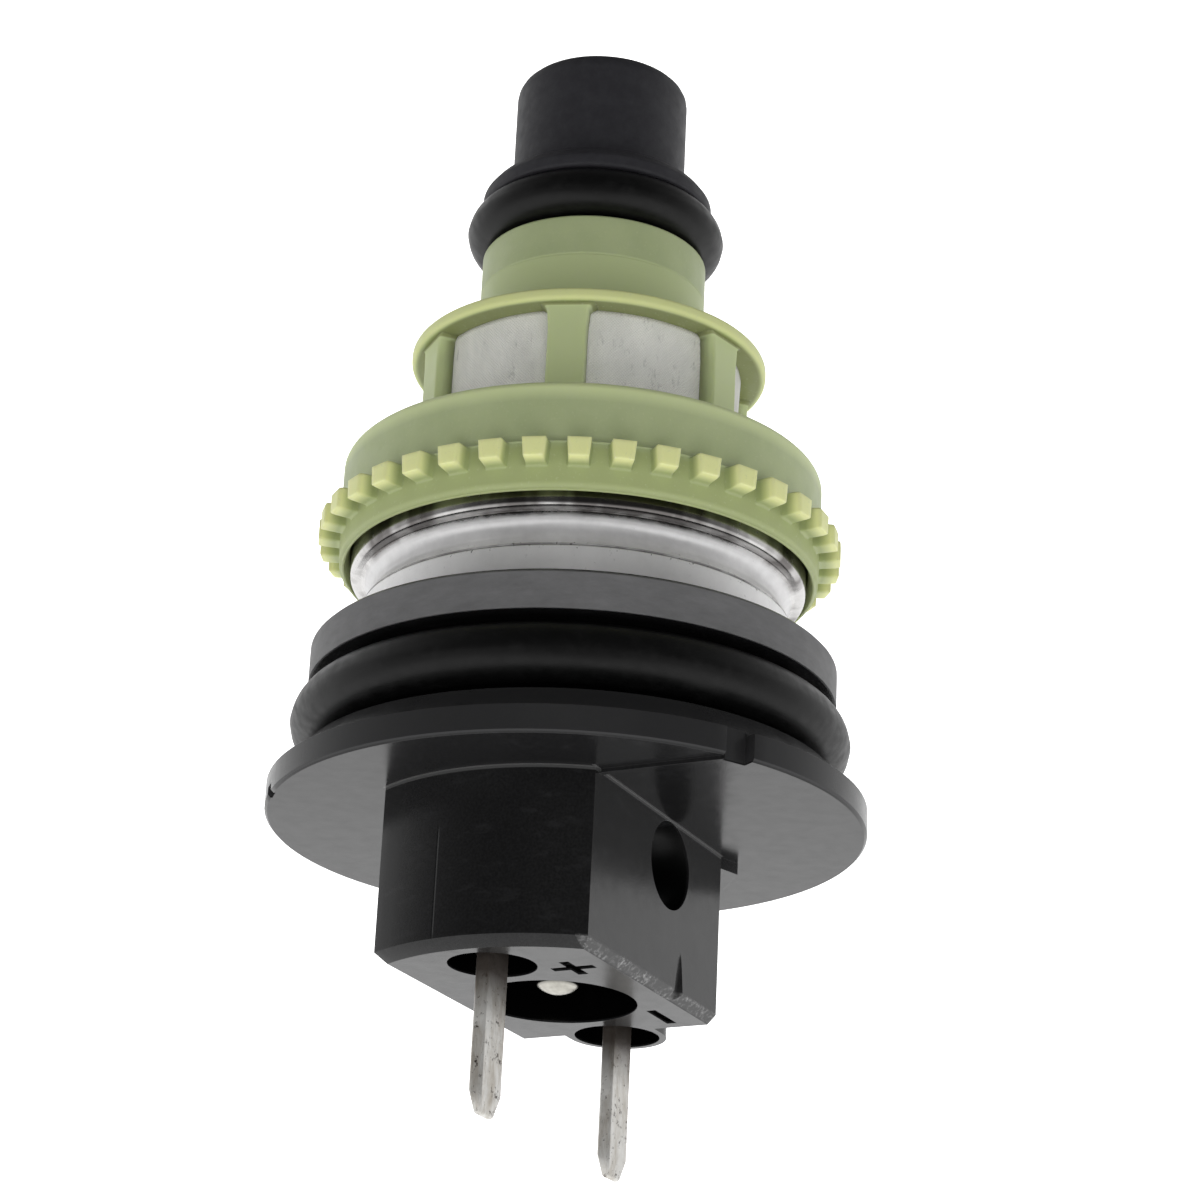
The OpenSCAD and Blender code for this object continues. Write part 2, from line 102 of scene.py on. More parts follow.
# Direction from the object to the camera, as angles from +X and above the horizontal
VIEW_AZIMUTH = math.radians(-26.600)
VIEW_HEIGHT = math.radians(21.551)

# The strainer basket
RING_R = 12.35
RING_LOW = GAUZE_TOP
# How much the snap ring narrows from the foot of its teeth to its mouth
MOUTH_DRAFT = 0.1
COLLAR_TOP = GAUZE_LOW
COLLAR_LOW = COLLAR_TOP - 0.63
COLLAR_R = 9.28
NECK_JOINT_Z = -27.9
TOOTH_COUNT = 38
TOOTH_TOP = BASKET_TOP - 1.18
TOOTH_LOW = TOOTH_TOP - 1.2
TOOTH_R = 13.4
BASKET_TURN = math.radians(-19)
FIRST_TOOTH = BASKET_TURN + math.radians(2.7)
RIB_COUNT = 6
RIB_W = 1.95
RIB_R = 8.8
# Places of the columns down the side of a tooth, from its crest to its foot
TOOTH_SIDE = (-0.10, -0.07, -0.045, -0.02, 0.005, 0.02, 0.035, 0.05)


# ---- Mesh tools ----

def rounded(corners, steps=5):
    """A closed (radius, height) outline from (radius, height, rounding) corners, all in mm."""
    outline = []
    for i, (r, z, rounding) in enumerate(corners):
        here = Vector((r, z))
        if rounding <= 0:
            outline.append((r, z))
            continue
        to_last = (Vector(corners[i - 1][:2]) - here).normalized()
        to_next = (Vector(corners[(i + 1) % len(corners)][:2]) - here).normalized()
        half = to_last.angle(to_next) / 2
        centre = here + (to_last + to_next).normalized() * rounding / math.sin(half)
        start = here + to_last * rounding / math.tan(half) - centre
        end = here + to_next * rounding / math.tan(half) - centre
        first = math.atan2(start.y, start.x)
        sweep = math.remainder(math.atan2(end.y, end.x) - first, TURN)
        for step in range(steps + 1):
            angle = first + sweep * step / steps
            outline.append((centre.x + rounding * math.cos(angle),
                            centre.y + rounding * math.sin(angle)))
    return outline


def circle(centre_r, z, section_r, flash):
    """Round outline of a seal ring, with a thin ridge of flash at its outer and inner middle."""
    steps = 40
    outline = []
    for step in range(steps):
        angle = TURN * step / steps
        ridge = flash if step % (steps // 2) == 0 else 0.0
        outline.append((centre_r + (section_r + ridge) * math.cos(angle),
                        z + section_r * math.sin(angle)))
    return outline


def grid_faces(columns, rows):
    """Quads of a grid that closes on itself both ways, numbered column by column."""
    return [
        (c * rows + r, (c + 1) % columns * rows + r,
         (c + 1) % columns * rows + (r + 1) % rows, c * rows + (r + 1) % rows)
        for c in range(columns) for r in range(rows)
    ]


def new_object(name, meshes):
    """One object from (points in mm, faces) pairs; doubles are merged and normals face out."""
    mesh = bmesh.new()
    for points, faces in meshes:
        made = [mesh.verts.new((x * MM, y * MM, z * MM)) for x, y, z in points]
        for face in faces:
            mesh.faces.new([made[i] for i in face])
    bmesh.ops.remove_doubles(mesh, verts=mesh.verts, dist=0.0005 * MM)
    bmesh.ops.recalc_face_normals(mesh, faces=mesh.faces)
    data = bpy.data.meshes.new(name)
    mesh.to_mesh(data)
    mesh.free()
    data.shade_smooth()
    made_object = bpy.data.objects.new(name, data)
    bpy.context.scene.collection.objects.link(made_object)
    return made_object


def turned(outline, uneven):
    """A closed outline turned about the axis, as (points, faces).

    uneven is the size of slow waves in the radius, which leave points on the axis alone.
    """
    segments = 256
    points = []
    for step in range(segments):
        angle = TURN * step / segments
        for r, z in outline:
            if r > 0:
                r += uneven * noise.noise((2 * math.cos(angle), 2 * math.sin(angle), 0.3 * z))
            points.append((r * math.cos(angle), r * math.sin(angle), z))
    return points, grid_faces(segments, len(outline))


def from_cad(name, node, bevel):
    """A copy of a CAD node with its flat faces joined up and its edges rounded, bevel mm wide."""
    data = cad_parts[node].data.copy()
    data.name = name
    mesh = bmesh.new()
    mesh.from_mesh(data)
    bmesh.ops.remove_doubles(mesh, verts=mesh.verts, dist=0.002 * MM)
    bmesh.ops.dissolve_limit(mesh, angle_limit=math.radians(1), verts=mesh.verts, edges=mesh.edges)
    mesh.to_mesh(data)
    mesh.free()
    data.materials.clear()
    data.shade_smooth()
    made_object = bpy.data.objects.new(name, data)
    bpy.context.scene.collection.objects.link(made_object)
    edge = made_object.modifiers.new("edges", "BEVEL")
    edge.width = bevel * MM
    edge.segments = 3
    edge.limit_method = "ANGLE"
    edge.angle_limit = math.radians(28)
    edge.use_clamp_overlap = True
    even_normals(made_object)
    return made_object


def even_normals(piece):
    """Weights the normals by face area, so that wide faces lead and small roundings follow."""
    weighted = piece.modifiers.new("normals", "WEIGHTED_NORMAL")
    weighted.keep_sharp = True
    weighted.weight = 80
    # Areas here are in square metres, so faces count as equal only within a tiny difference
    weighted.thresh = 5e-9


# ---- Material tools ----

class Finish:
    """A material whose nodes are made and linked one call at a time."""

    def __init__(self, name, **constants):
        self.material = bpy.data.materials.new(name)
        self.material.use_nodes = True
        self.tree = self.material.node_tree
        self.shader = self.tree.nodes["Principled BSDF"]
        for socket, value in constants.items():
            self.shader.inputs[socket.replace("_", " ")].default_value = value
        self.place = self.add("ShaderNodeTexCoord").outputs["Object"]

    def add(self, kind, inputs=None, **settings):
        """A node of that kind; inputs maps a socket's name or number to a value or an output."""
        node = self.tree.nodes.new(kind)
        for setting, value in settings.items():
            setattr(node, setting, value)
        for socket, value in (inputs or {}).items():
            if isinstance(value, bpy.types.NodeSocket):
                self.tree.links.new(value, node.inputs[socket])
            else:
                node.inputs[socket].default_value = value
        return node

    def math(self, operation, a, b=0.0, c=0.0):
        """One step of arithmetic on numbers or outputs."""
        return self.add("ShaderNodeMath", {0: a, 1: b, 2: c}, operation=operation).outputs[0]

    def all_of(self, *masks):
        """1 only where every mask is 1: the product of the masks."""
        product = masks[0]
        for mask in masks[1:]:
            product = self.math("MULTIPLY", product, mask)
        return product

    def any_of(self, *masks):
        """1 where any mask is 1: the greatest of the masks."""
        greatest = masks[0]
        for mask in masks[1:]:
            greatest = self.math("MAXIMUM", greatest, mask)
        return greatest

    def noise(self, size, detail=4.0, rough=0.5, stretch=(1, 1, 1), offset=(0, 0, 0)):
        """Noise from 0 to 1 with features about size mm across, stretched along each axis."""
        mapping = {"Vector": self.place, "Location": offset, "Scale": [1 / s for s in stretch]}
        scaled = self.add("ShaderNodeMapping", mapping).outputs[0]
        grain = {"Vector": scaled, "Scale": 1 / (size * MM), "Detail": detail, "Roughness": rough}
        return self.add("ShaderNodeTexNoise", grain).outputs["Fac"]

    def span(self, value, from_low, from_high, to_low=0.0, to_high=1.0):
        """value mapped from one range to another, held at the ends."""
        ranges = {"Value": value, "From Min": from_low, "From Max": from_high,
                  "To Min": to_low, "To Max": to_high}
        return self.add("ShaderNodeMapRange", ranges).outputs["Result"]

    def axes(self):
        """The three coordinates on the object, in metres."""
        split = self.add("ShaderNodeSeparateXYZ", {0: self.place}).outputs
        return split["X"], split["Y"], split["Z"]

    def above(self, value, start, end):
        """0 where value is under start and 1 where it is over end, which are in millimetres."""
        return self.span(value, start * MM, end * MM)

    def below(self, value, start, end):
        """1 where value is under start and 0 where it is over end, which are in millimetres."""
        return self.span(value, start * MM, end * MM, 1.0, 0.0)

    def inside(self, value, start, end, soft):
        """1 where value lies between start and end, in millimetres, with edges soft wide."""
        return self.all_of(self.above(value, start - soft, start),
                           self.below(value, end, end + soft))

    def seam(self, degrees, width):
        """Lines of that half width up the object, at that angle about its axis and opposite it."""
        turn = math.radians(degrees)
        sideways = (-math.sin(turn), math.cos(turn), 0)
        across = self.add("ShaderNodeVectorMath", {0: self.place, 1: sideways},
                          operation="DOT_PRODUCT").outputs["Value"]
        return self.below(self.math("ABSOLUTE", across), 0, width)

    def from_axis(self):
        """Distance from the injector's axis, in metres."""
        level = {0: self.place, 1: (1, 1, 0)}
        flat = self.add("ShaderNodeVectorMath", level, operation="MULTIPLY")
        length = self.add("ShaderNodeVectorMath", {0: flat.outputs[0]}, operation="LENGTH")
        return length.outputs["Value"]

    def blend(self, factor, a, b):
        """Colour a where factor is 0 and b where it is 1; each is a colour or an output."""
        # A Mix node has its colours in sockets 6 and 7, and its mixed colour in output 2
        inputs = {0: factor}
        for socket, value in ((6, a), (7, b)):
            inputs[socket] = value if isinstance(value, bpy.types.NodeSocket) else (*value, 1)
        return self.add("ShaderNodeMix", inputs, data_type="RGBA").outputs[2]

    def mix(self, factor, a, b):
        """Number a where factor is 0 and b where it is 1."""
        return self.math("MULTIPLY_ADD", factor, self.math("SUBTRACT", b, a), a)

    def colour(self, value):
        """Links the finished colour."""
        self.tree.links.new(value, self.shader.inputs["Base Color"])

    def roughness(self, value):
        """Links the finished roughness."""
        self.tree.links.new(value, self.shader.inputs["Roughness"])

    def metallic(self, value):
        """Links the finished metal share."""
        self.tree.links.new(value, self.shader.inputs["Metallic"])

    def bump(self, value, depth, strength=1.0):
        """Bump of that depth in millimetres, on top of the bumps before it."""
        node = self.add("ShaderNodeBump",
                        {"Height": value, "Distance": depth * MM, "Strength": strength})
        normal = self.shader.inputs["Normal"]
        if normal.is_linked:
            self.tree.links.new(normal.links[0].from_socket, node.inputs["Normal"])
        self.tree.links.new(node.outputs[0], normal)


def grey(value):
    """A neutral colour."""
    return (value, value, value)


def flange_side(finish):
    """Where the flange's rim and the tapered land show, out beyond the seal groove."""
    z = finish.axes()[2]
    return finish.all_of(finish.inside(z, -2.2, FLANGE_T - 0.1, 0.05),
                         finish.above(finish.from_axis(), 11.2, 11.6))


def guide_land(finish):
    """The outer wall of the land under the seal groove."""
    z = finish.axes()[2]
    return finish.all_of(finish.inside(z, GUIDE_LOW - 0.02, GUIDE_TOP + 0.02, 0.03),
                         finish.above(finish.from_axis(), 13.2, 13.3))


def latch_edge(finish):
    """The chamfer between the block's end face and its latch wall."""
    y, z = finish.axes()[1:]
    return finish.all_of(finish.inside(z, BLOCK_TOP - 0.45, BLOCK_TOP - 0.08, 0.1),
                         finish.inside(y, LATCH_WALL_Y + 0.02, LATCH_WALL_Y + 0.42, 0.1))


def painted_foot_highlight(finish):
    """Painted highlight: a thin pale line where the block's latch wall and curved wall stand on
    the flange.
    """
    x, y, z = finish.axes()
    foot = finish.inside(z, FLANGE_T - 0.02, FLANGE_T + 0.12, 0.05)
    wall = finish.all_of(finish.inside(y, LATCH_WALL_Y - 0.12, LATCH_WALL_Y + 0.02, 0.03),
                         finish.inside(x, -6, 9, 0.1))
    curve = finish.all_of(
        finish.inside(finish.from_axis(), CURVED_WALL_R - 0.02, CURVED_WALL_R + 0.12, 0.03),
        finish.inside(y, LATCH_WALL_Y, 5.3, 0.1),
        finish.above(x, 4, 4.2))
    return finish.all_of(foot, finish.any_of(wall, curve))


def end_holes(finish):
    """The well, both terminal pockets and the sunk plus and minus signs, where shade is painted
    near-black.
    """
    x, y, z = finish.axes()
    well = finish.below(finish.from_axis(), WELL_R + 0.05, WELL_R + 0.10)
    beside = finish.math("SUBTRACT", finish.math("ABSOLUTE", x), BLADE_X * MM)
    squares = finish.math("ADD", finish.math("MULTIPLY", beside, beside),
                          finish.math("MULTIPLY", y, y))
    pocket = finish.below(finish.math("SQRT", squares), POCKET_R + 0.13, POCKET_R + 0.18)
    sign = finish.all_of(finish.inside(z, BLOCK_TOP - 0.35, BLOCK_TOP, 0.01),
                         finish.inside(y, LATCH_WALL_Y + 0.9, -2.2, 0.05),
                         finish.inside(x, -5.6, 6.7, 0.05))
    return finish.all_of(finish.any_of(well, pocket, sign),
                         finish.inside(z, 0, BLOCK_TOP - 0.12, 0.04))


def latch_bore(finish):
    """The wall of the round hole in the latch wall, where shade is painted near-black."""
    x, y, z = finish.axes()
    reach = LATCH_HOLE_R + 0.2
    low_z = LATCH_HOLE_Z - LATCH_HOLE_R + 0.04
    high_z = LATCH_HOLE_Z + LATCH_HOLE_R + 0.34
    return finish.all_of(finish.inside(z, low_z, high_z, 0.03),
                         finish.inside(y, LATCH_WALL_Y + 0.14, -1, 0.04),
                         finish.inside(x, -reach, reach, 0.05))


def black_plastic():
    """Glass-filled black moulding: satin, chipped at one edge, with a dull, paler guide land.
    Its well, pockets, sunk signs and latch bore are painted near-black as shade.
    """
    finish = Finish("black_plastic", Specular_IOR_Level=0.27)
    land = guide_land(finish)
    edge = latch_edge(finish)
    holes = end_holes(finish)
    bore = latch_bore(finish)
    # Painted shade: the well, pockets, sunk signs and latch bore are coloured near-black
    finish.colour(finish.blend(finish.any_of(holes, bore), moulding_colour(finish, land, edge),
                               grey(0.0012)))
    satin = finish.span(finish.noise(0.8, 5), 0.3, 0.7, 0.18, 0.26)
    dull = finish.math("MULTIPLY_ADD", land, 0.30, satin)
    finish.roughness(finish.mix(bore, finish.mix(holes, dull, 0.12), 0.40))
    finish.bump(finish.noise(0.10, 2), 0.006, 0.5)
    finish.bump(finish.noise(2.5, 3), 0.03, 0.4)
    z = finish.axes()[2]
    seam = finish.all_of(finish.seam(8, 0.07), finish.inside(z, 4.5, BLOCK_TOP - 0.8, 0.5))
    finish.bump(seam, -0.02)
    return finish.material


def moulding_colour(finish, land, edge):
    """Colour of the black moulding outside its holes, given where its guide land and edge are."""
    speck = finish.span(finish.noise(0.12, 3), 0.35, 0.75)
    body = finish.blend(speck, (0.0085, 0.0085, 0.0088), (0.0150, 0.0150, 0.0155))
    scuff = finish.span(finish.noise(1.6, 6, 0.65, stretch=(1, 1, 0.35)), 0.55, 0.8)
    body = finish.blend(scuff, body, (0.022, 0.022, 0.023))
    body = finish.blend(finish.all_of(flange_side(finish), 0.8), body, (0.034, 0.034, 0.035))
    rubbed = finish.span(finish.noise(0.5, 6, 0.7, stretch=(3, 3, 1)), 0.3, 0.7)
    worn = finish.blend(rubbed, (0.140, 0.140, 0.142), (0.185, 0.185, 0.188))
    body = finish.blend(land, body, worn)
    body = finish.blend(finish.all_of(edge, 0.8), body, grey(0.060))
    worn_part = finish.span(finish.noise(1.8, 3, offset=(0.6, 0.2, 0.1)), 0.42, 0.62)
    chips = finish.all_of(edge, worn_part, finish.span(finish.noise(0.25, 4, 0.7), 0.48, 0.62))
    body = finish.blend(chips, body, grey(0.30))
    # Painted highlight: a pale line along the foot of the block's walls
    return finish.blend(painted_foot_highlight(finish), body, grey(0.075))


def rubber(name, tone):
    """Nitrile rubber: dull black with a fine grain and a little bloom."""
    finish = Finish(name, Specular_IOR_Level=0.28)
    bloom = finish.span(finish.noise(1.2, 6, 0.7), 0.5, 0.8)
    finish.colour(finish.blend(bloom, grey(tone), grey(tone * 2.4)))
    finish.roughness(finish.span(finish.noise(0.6, 4), 0.3, 0.7, 0.34, 0.48))
    finish.bump(finish.noise(0.07, 2), 0.005, 0.5)
    finish.bump(finish.noise(0.9, 3, stretch=(2, 2, 1)), 0.02, 0.3)
    return finish.material


def green_plastic():
    """Sage-green moulding, a little see-through, with light and shade painted into its colour.
    The teeth, the ring's rounded nozzle-side edge and the collar's rim are painted paler and
    yellower for light shining through and onto them; the collar's face under the ring is painted
    darker as shade, and the neck by the collar is painted lighter to offset the collar's shade on
    it. The ring's mouth is a yellower tone.
    """
    finish = Finish("green_plastic", Specular_IOR_Level=0.45, Subsurface_Weight=0.25,
                    Subsurface_Scale=0.6 * MM)
    finish.shader.inputs["Subsurface Radius"].default_value = (0.9, 1.0, 0.45)
    out = finish.from_axis()
    z = finish.axes()[2]
    on_ring = finish.above(z, RING_LOW - 0.1, RING_LOW)
    below_ring = finish.below(z, RING_LOW - 0.4, RING_LOW - 0.1)
    lip = finish.all_of(on_ring, finish.above(z, TOOTH_LOW - 0.05, TOOTH_LOW + 0.25))
    corner_painted_light = finish.all_of(on_ring, finish.below(z, RING_LOW + 0.25, RING_LOW + 1.1))
    tooth = finish.above(out, RING_R + 0.25, RING_R + 0.85)
    rim = finish.all_of(below_ring, finish.above(out, COLLAR_R - 0.38, COLLAR_R - 0.08))
    on_rib = finish.all_of(below_ring, finish.above(z, COLLAR_TOP, COLLAR_TOP + 0.1))
    collar_face_painted_shade = finish.all_of(finish.inside(z, COLLAR_TOP - 0.1, COLLAR_TOP + 0.1, 0.05),
                                finish.below(out, COLLAR_R - 0.38, COLLAR_R - 0.18))
    neck = finish.inside(z, NECK_JOINT_Z, COLLAR_LOW - 0.3, 0.1)
    cloud = finish.span(finish.noise(2.2, 5, 0.6), 0.3, 0.7)
    body = finish.blend(cloud, (0.430, 0.500, 0.270), (0.490, 0.560, 0.310))
    body = finish.blend(lip, body, (0.420, 0.480, 0.225))
    # Painted light: the ring's rounded nozzle-side edge is coloured paler and yellower
    body = finish.blend(finish.all_of(corner_painted_light, 0.85), body, (0.780, 0.870, 0.470))
    # Painted light: the teeth are coloured pale cream for light shining through and onto them
    body = finish.blend(tooth, body, (0.850, 0.880, 0.420))
    # Painted highlight: the collar's rim is coloured paler and yellower
    body = finish.blend(rim, body, (0.740, 0.790, 0.370))
    body = finish.blend(on_rib, body, (0.600, 0.680, 0.370))
    # Painted shade: the collar's face under the ring is coloured dark olive
    body = finish.blend(finish.all_of(collar_face_painted_shade, 0.75), body, (0.230, 0.250, 0.080))
    # Painted light: the neck by the collar is coloured lighter to offset the collar's shade
    body = finish.blend(neck, body, (0.560, 0.640, 0.340))
    speck = finish.span(finish.noise(0.16, 2), 0.62, 0.75, 0.0, 0.3)
    finish.colour(finish.blend(speck, body, (0.600, 0.650, 0.400)))
    finish.roughness(finish.span(finish.noise(0.7, 4), 0.3, 0.7, 0.42, 0.55))
    finish.bump(finish.noise(0.12, 2), 0.006, 0.4)
    finish.bump(finish.noise(1.8, 3), 0.03, 0.4)
    return finish.material


def turned_steel(name, tone, rough, stain):
    """Bright steel with faint tool rings, mottling and dark specks."""
    finish = Finish(name, Metallic=1.0)
    mottle = finish.span(finish.noise(0.7, 6, 0.65), 0.35, 0.75)
    body = finish.blend(mottle, grey(tone), grey(tone * 0.86))
    speck = finish.span(finish.noise(0.20, 5, 0.7, offset=(0.4, 0.1, 0.7)), 0.71, 0.76)
    finish.colour(finish.blend(finish.math("MULTIPLY", speck, stain), body, (0.10, 0.085, 0.07)))
    finish.roughness(finish.span(finish.noise(0.5, 5), 0.3, 0.7, rough, rough + 0.10))
    tool_marks(finish)
    return finish.material


def housing_steel():
    """Dull plated steel with the rolled bead polished by its tool; the bead's colour is streaked
    dark and bright as painted reflection.
    """
    finish = Finish("housing_steel")
    z = finish.axes()[2]
    bead = finish.below(z, BEAD_TOP + 0.05, BEAD_TOP + 0.25)
    painted_reflection_streaks = finish.span(finish.noise(3.5, 3, 0.6, stretch=(1, 1, 4)), 0.42, 0.60)
    # Painted reflection: dark and bright streaks in the bead's colour break up its reflections
    polished = finish.blend(painted_reflection_streaks, (0.16, 0.15, 0.145), (0.64, 0.63, 0.62))
    finish.colour(finish.blend(bead, dull_plate(finish, z), polished))
    finish.metallic(finish.span(bead, 0, 1, 0.50, 1.0))
    satin = finish.span(finish.noise(0.5, 5), 0.3, 0.7, 0.38, 0.50)
    polish = finish.span(finish.noise(0.5, 5), 0.3, 0.7, 0.16, 0.28)
    finish.roughness(finish.mix(bead, satin, polish))
    tool_marks(finish)
    return finish.material


def dull_plate(finish, z):
    """Colour of the waist and the cup's ring, with grime, specks and a dark joint between them."""
    mottle = finish.span(finish.noise(0.9, 6, 0.65), 0.3, 0.75)
    waist = finish.blend(mottle, (0.900, 0.895, 0.895), (0.760, 0.755, 0.755))
    cup = finish.blend(mottle, (0.970, 0.965, 0.965), (0.880, 0.875, 0.875))
    plate = finish.blend(finish.above(z, CUP_LOW - 0.05, CUP_LOW + 0.02), waist, cup)
    grime = finish.span(finish.noise(0.35, 6, 0.75, offset=(0.4, 0.1, 0.7)), 0.62, 0.78)
    cup_side = finish.span(z, (CUP_LOW - 0.05) * MM, (CUP_LOW + 0.05) * MM, 0.2, 0.6)
    plate = finish.blend(finish.all_of(grime, cup_side), plate, (0.20, 0.19, 0.19))
    joint = finish.all_of(finish.inside(z, CUP_LOW - 0.10, CUP_LOW + 0.02, 0.03),
                          finish.span(finish.noise(1.5, 4), 0.35, 0.6, 0.35, 0.8))
    plate = finish.blend(joint, plate, (0.15, 0.14, 0.14))
    by_joint = finish.inside(z, CUP_LOW - 0.15, CUP_LOW + 0.10, 0.25)
    speck = finish.noise(0.20, 5, 0.7, offset=(0.9, 0.3, 0.2))
    speck = finish.math("MULTIPLY_ADD", by_joint, 0.09, speck)
    return finish.blend(finish.span(speck, 0.70, 0.74), plate, (0.05, 0.045, 0.04))


def tool_marks(finish):
    """Fine rings from the turning tool over shallow, wider unevenness."""
    finish.bump(finish.noise(0.12, 2, 0.5, stretch=(60, 60, 1)), 0.003, 0.3)
    finish.bump(finish.noise(1.1, 4), 0.010, 0.4)


def tinned_brass():
    """Dull tin plate, pitted all over, painted dark brown beside the pocket as the black block's
    reflection.
    """
    finish = Finish("tinned_brass", Metallic=0.55)
    stain = finish.span(finish.noise(0.7, 7, 0.7, stretch=(1, 1, 4)), 0.42, 0.68)
    body = finish.blend(stain, (0.72, 0.71, 0.68), (0.44, 0.40, 0.34))
    z = finish.axes()[2]
    painted_block_reflection = finish.span(z, (BLOCK_TOP + 0.5) * MM, (BLOCK_TOP + 2.8) * MM, 0.97, 0.0)
    # Painted reflection: the blade darkens towards the pocket as if reflecting the black block
    body = finish.blend(painted_block_reflection, body, (0.060, 0.048, 0.040))
    dirt = finish.span(finish.noise(0.35, 5, 0.7, offset=(0.3, 0.2, 0.9)), 0.58, 0.66)
    finish.colour(finish.blend(dirt, body, (0.07, 0.055, 0.045)))
    finish.roughness(finish.span(finish.noise(0.4, 5), 0.3, 0.7, 0.34, 0.52))
    finish.bump(finish.noise(0.05, 2, 0.5, stretch=(1, 1, 12)), 0.003, 0.6)
    finish.bump(finish.noise(0.4, 5, 0.6), 0.04, 0.6)
    return finish.material


def rod_steel():
    """Bright domed end on a rod whose side, down in the well, is painted near-black as shade."""
    finish = Finish("rod_steel", Metallic=1.0)
    z = finish.axes()[2]
    rod_top = top("adjusting_pin")
    dome_clear_of_painted_shade = finish.above(z, rod_top - 0.5, rod_top - 0.3)
    mottle = finish.span(finish.noise(0.4, 5, 0.65), 0.35, 0.75)
    bright = finish.blend(mottle, (0.58, 0.565, 0.51), (0.40, 0.385, 0.345))
    # Painted shade: the rod's side below its domed end is coloured near-black
    finish.colour(finish.blend(dome_clear_of_painted_shade, grey(0.010), bright))
    finish.roughness(finish.span(finish.noise(0.3, 4), 0.3, 0.7, 0.28, 0.42))
    finish.bump(finish.noise(0.3, 4), 0.01, 0.5)
    return finish.material


def gauze():
    """Fine woven nylon gauze: threads both ways, with paler and darker streaks, and painted shade
    in the weave's openings.
    """
    finish = Finish("gauze", Roughness=0.65, Specular_IOR_Level=0.35)
    x, y, z = finish.axes()
    around = finish.math("ARCTAN2", y, x)
    pitch = 0.17
    hoops = finish.math("SINE", finish.math("MULTIPLY", z, TURN / (pitch * MM)))
    uprights = finish.math("SINE", finish.math("MULTIPLY", around, round(TURN * GAUZE_R / pitch)))
    weave = finish.math("MULTIPLY", hoops, uprights)
    streak = finish.span(finish.noise(1.3, 5, 0.6, stretch=(1, 1, 2.2)), 0.3, 0.75)
    cloth = finish.blend(streak, (0.97, 0.96, 0.93), (0.80, 0.79, 0.77))
    soot = finish.noise(0.5, 6, 0.75, stretch=(1, 1, 2.5), offset=(0.2, 0.7, 0.1))
    cloth = finish.blend(finish.span(soot, 0.58, 0.74), cloth, (0.45, 0.44, 0.44))
    # Painted shade: the weave's openings are coloured darker for the shaded inside seen through
    # them
    hole = finish.span(weave, -1.0, 1.0, 0.0, 0.16)
    finish.colour(finish.blend(hole, cloth, (0.40, 0.39, 0.38)))
    finish.bump(weave, 0.02, 0.7)
    finish.bump(finish.noise(0.8, 4, stretch=(1, 1, 2)), 0.05, 0.5)
    return finish.material


def cap_plastic():
    """Soft charcoal plastic with a matt, slightly dusty skin."""
    finish = Finish("cap_plastic", Specular_IOR_Level=0.3)
    dust = finish.span(finish.noise(0.9, 6, 0.7), 0.4, 0.8)
    finish.colour(finish.blend(dust, (0.0290, 0.0285, 0.0330), (0.041, 0.041, 0.046)))
    finish.roughness(finish.span(finish.noise(0.6, 4), 0.3, 0.7, 0.50, 0.62))
    finish.bump(finish.noise(0.09, 2), 0.008, 0.5)
    finish.bump(finish.noise(1.4, 3), 0.03, 0.4)
    return finish.material


def bobbin_plastic():
    """Ivory moulding of the coil's spool."""
    finish = Finish("bobbin_plastic", Specular_IOR_Level=0.4)
    cloud = finish.span(finish.noise(1.5, 4), 0.3, 0.7)
    finish.colour(finish.blend(cloud, (0.62, 0.58, 0.46), (0.70, 0.66, 0.55)))
    finish.roughness(finish.span(finish.noise(0.6, 4), 0.3, 0.7, 0.4, 0.55))
    finish.bump(finish.noise(0.15, 2), 0.006, 0.4)
    return finish.material


def enamelled_copper():
    """Layers of enamelled wire, seen as fine bands along the coil."""
    finish = Finish("enamelled_copper", Metallic=1.0)
    wire = 0.25
    z = finish.axes()[2]
    bands = finish.math("SINE", finish.math("MULTIPLY", z, TURN / (wire * MM)))
    tone = finish.span(finish.noise(0.8, 5), 0.3, 0.7)
    finish.colour(finish.blend(tone, (0.55, 0.20, 0.09), (0.68, 0.28, 0.13)))
    finish.roughness(finish.span(finish.noise(0.5, 3), 0.3, 0.7, 0.25, 0.38))
    finish.bump(bands, 0.04, 0.8)
    return finish.material


# ---- Pieces ----

def seal_ring(name, box):
    """Seal ring as large as its CAD node's box, with a flash line, and slightly uneven."""
    lo, hi = box
    spare = 0.01
    section_r = (hi.z - lo.z) / MM / 2
    middle_z = (hi.z + lo.z) / MM / 2
    outline = circle(hi.y / MM - section_r - spare, middle_z, section_r - spare, flash=0.03)
    return new_object(name, [turned(outline, uneven=0.02)])


def transit_cap():
    """Cap with a crown, a bell-shaped brim and an open bore that the nozzle fits."""
    crown_r = 4.58
    brim_r = radius("protective_cap")
    root_z = CAP_TOP - 1.4
    bore_r = 3.6
    mouth_r = 4.3
    step_z = CAP_TOP - 0.4
    floor_z = CAP_LOW + 1
    outline = rounded([
        (0, CAP_LOW, 0), (crown_r, CAP_LOW, 0.95), (crown_r, root_z, 0.15),
        (brim_r - 0.45, root_z + 0.12, 0.45), (brim_r, root_z + 0.7, 0.35),
        (brim_r, CAP_TOP, 0.25), (mouth_r, CAP_TOP, 0.1), (mouth_r, step_z, 0.05),
        (bore_r, step_z, 0.05), (bore_r, floor_z, 0.3), (0, floor_z, 0),
    ])
    return new_object("transit_cap", [turned(outline, uneven=0.012)])


